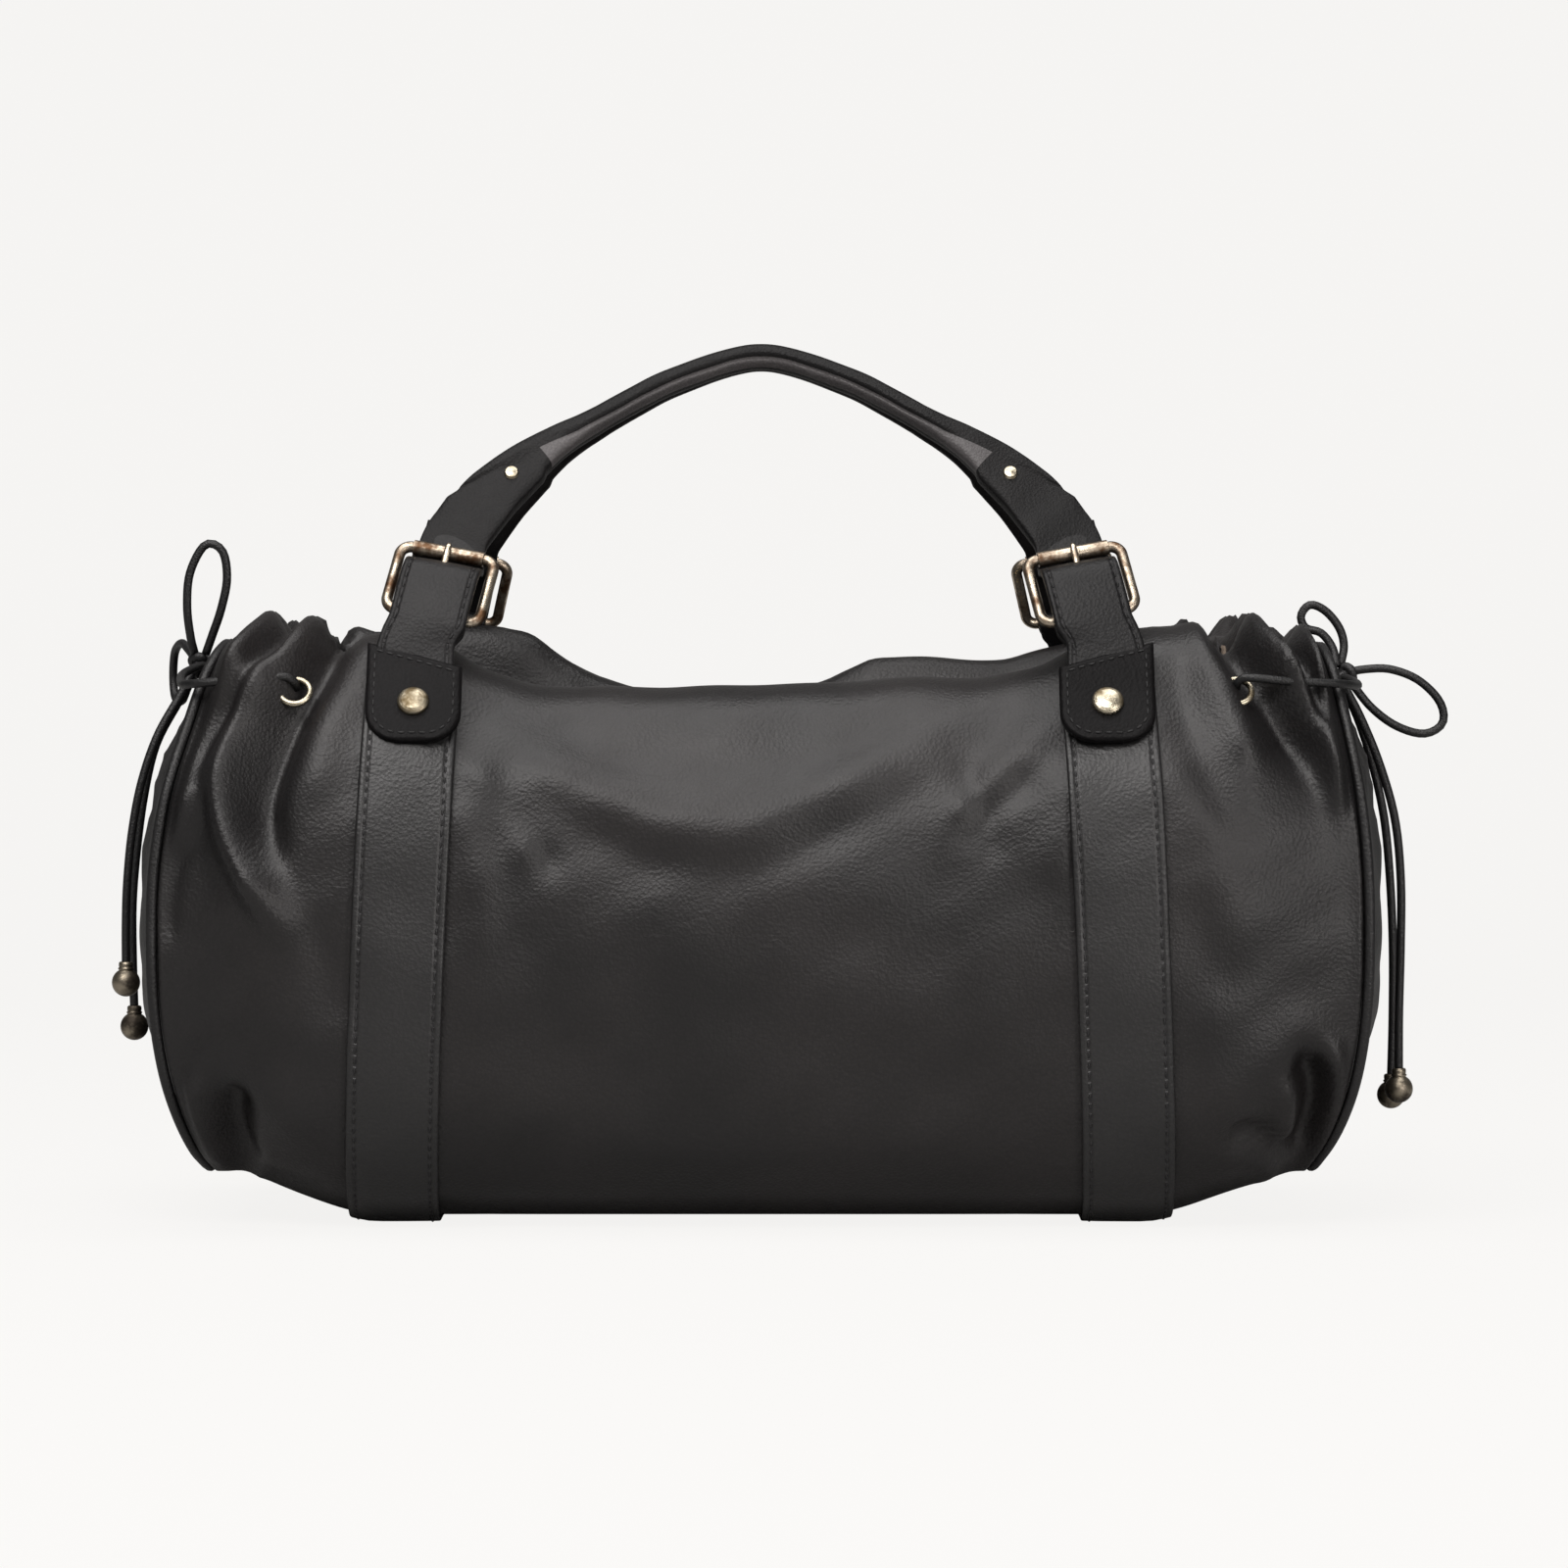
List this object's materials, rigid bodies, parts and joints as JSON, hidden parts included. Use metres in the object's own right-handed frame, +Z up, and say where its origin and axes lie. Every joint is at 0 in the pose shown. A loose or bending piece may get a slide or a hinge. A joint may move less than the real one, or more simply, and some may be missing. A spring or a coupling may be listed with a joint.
{
  "type": "handbag",
  "caption": "Barrel handbag in soft dark leather with gathered drawstring ends, two rolled handles on roller buckles, riveted tabs, vertical bands and a recessed zip",
  "frame": {"origin": "middle of the footprint, on the surface that the bag rests on", "axes": "+X along the bag to the viewer's right, -Y out of the front that the picture shows, +Z up"},
  "size_m": [0.4339, 0.181, 0.2818],
  "materials": {
    "body_leather": "soft grained leather with a low sheen",
    "trim_leather": "smooth stitched leather",
    "strap_leather": "strap leather with raw brown edges",
    "lining": "woven cotton",
    "board": "pressed fibre board",
    "zip_tape": "woven tape",
    "zip_metal": "antique brass",
    "rivet_metal": "pale antique brass, domed",
    "buckle_metal": "pale polished gold with brown tarnish",
    "ball_metal": "dark antique brass",
    "cord": "round waxed leather cord"
  },
  "bodies": {
    "bag": {"shell": "body_leather", "lining": "lining", "base_board": "board", "base_panel": "trim_leather", "left_end_panel": "body_leather", "right_end_panel": "body_leather", "left_piping": "trim_leather", "right_piping": "trim_leather", "left_band": "trim_leather", "right_band": "trim_leather", "zip_facings": "trim_leather", "zip_tapes": "zip_tape", "zip_teeth": "zip_metal", "zip_stops": "zip_metal", "front_left_tab": "strap_leather", "front_right_tab": "strap_leather", "rear_left_tab": "strap_leather", "rear_right_tab": "strap_leather", "tab_rivets": "rivet_metal", "eyelets": "rivet_metal", "left_knot": "cord", "right_knot": "cord", "left_drawstring": "cord", "right_drawstring": "cord", "left_tall_loop": "cord", "left_low_loop": "cord", "right_round_loop": "cord", "right_long_loop": "cord", "left_front_tail": "cord", "left_rear_tail": "cord", "right_front_tail": "cord", "right_rear_tail": "cord", "left_balls": "ball_metal", "right_balls": "ball_metal"},
    "front_handle": {"front_grip": "strap_leather", "front_left_strap": "strap_leather", "front_right_strap": "strap_leather", "front_grip_rivets": "rivet_metal", "front_left_chape": "strap_leather", "front_right_chape": "strap_leather", "front_left_frame": "buckle_metal", "front_right_frame": "buckle_metal"},
    "rear_handle": {"rear_grip": "strap_leather", "rear_left_strap": "strap_leather", "rear_right_strap": "strap_leather", "rear_grip_rivets": "rivet_metal", "rear_left_chape": "strap_leather", "rear_right_chape": "strap_leather", "rear_left_frame": "buckle_metal", "rear_right_frame": "buckle_metal"},
    "zip_slider": {"zip_slider": "zip_metal"},
    "zip_pull": {"zip_pull": "zip_metal"},
    "front_left_roller": {"front_left_roller": "buckle_metal"},
    "front_left_prong": {"front_left_prong": "buckle_metal"},
    "front_right_roller": {"front_right_roller": "buckle_metal"},
    "front_right_prong": {"front_right_prong": "buckle_metal"},
    "rear_left_roller": {"rear_left_roller": "buckle_metal"},
    "rear_left_prong": {"rear_left_prong": "buckle_metal"},
    "rear_right_roller": {"rear_right_roller": "buckle_metal"},
    "rear_right_prong": {"rear_right_prong": "buckle_metal"}
  },
  "joints": [
    {"name": "front_handle_fold", "type": "hinge", "parent": "bag", "child": "front_handle", "pos_m": [0, -0.0595, 0.187], "axis": [1, 0, 0], "range_deg": [0, 60]},
    {"name": "rear_handle_fold", "type": "hinge", "parent": "bag", "child": "rear_handle", "pos_m": [0, 0.0595, 0.187], "axis": [-1, 0, 0], "range_deg": [0, 60]},
    {"name": "zip_slide", "type": "slide", "parent": "bag", "child": "zip_slider", "axis": [1, 0, 0], "range_m": [-0.216, 0.004]},
    {"name": "zip_pull_flip", "type": "hinge", "parent": "zip_slider", "child": "zip_pull", "pos_m": [0.108, 0, 0.16275], "axis": [0, 1, 0], "range_deg": [0, 175]},
    {"name": "front_left_roller_spin", "type": "hinge", "parent": "front_handle", "child": "front_left_roller", "pos_m": [-0.09947, -0.04401, 0.21352], "axis": [0.9781, -0.1048, -0.1795], "continuous": true},
    {"name": "front_left_prong_lift", "type": "hinge", "parent": "front_handle", "child": "front_left_prong", "pos_m": [-0.10434, -0.05555, 0.19376], "axis": [0.9781, -0.1048, -0.1795], "range_deg": [0, 8]},
    {"name": "front_right_roller_spin", "type": "hinge", "parent": "front_handle", "child": "front_right_roller", "pos_m": [0.09947, -0.04401, 0.21352], "axis": [0.9781, 0.1048, 0.1795], "continuous": true},
    {"name": "front_right_prong_lift", "type": "hinge", "parent": "front_handle", "child": "front_right_prong", "pos_m": [0.10434, -0.05555, 0.19376], "axis": [0.9781, 0.1048, 0.1795], "range_deg": [0, 8]},
    {"name": "rear_left_roller_spin", "type": "hinge", "parent": "rear_handle", "child": "rear_left_roller", "pos_m": [-0.09947, 0.04401, 0.21352], "axis": [-0.9781, -0.1048, 0.1795], "continuous": true},
    {"name": "rear_left_prong_lift", "type": "hinge", "parent": "rear_handle", "child": "rear_left_prong", "pos_m": [-0.10434, 0.05555, 0.19376], "axis": [-0.9781, -0.1048, 0.1795], "range_deg": [0, 8]},
    {"name": "rear_right_roller_spin", "type": "hinge", "parent": "rear_handle", "child": "rear_right_roller", "pos_m": [0.09947, 0.04401, 0.21352], "axis": [-0.9781, 0.1048, -0.1795], "continuous": true},
    {"name": "rear_right_prong_lift", "type": "hinge", "parent": "rear_handle", "child": "rear_right_prong", "pos_m": [0.10434, 0.05555, 0.19376], "axis": [-0.9781, 0.1048, -0.1795], "range_deg": [0, 8]}
  ]
}
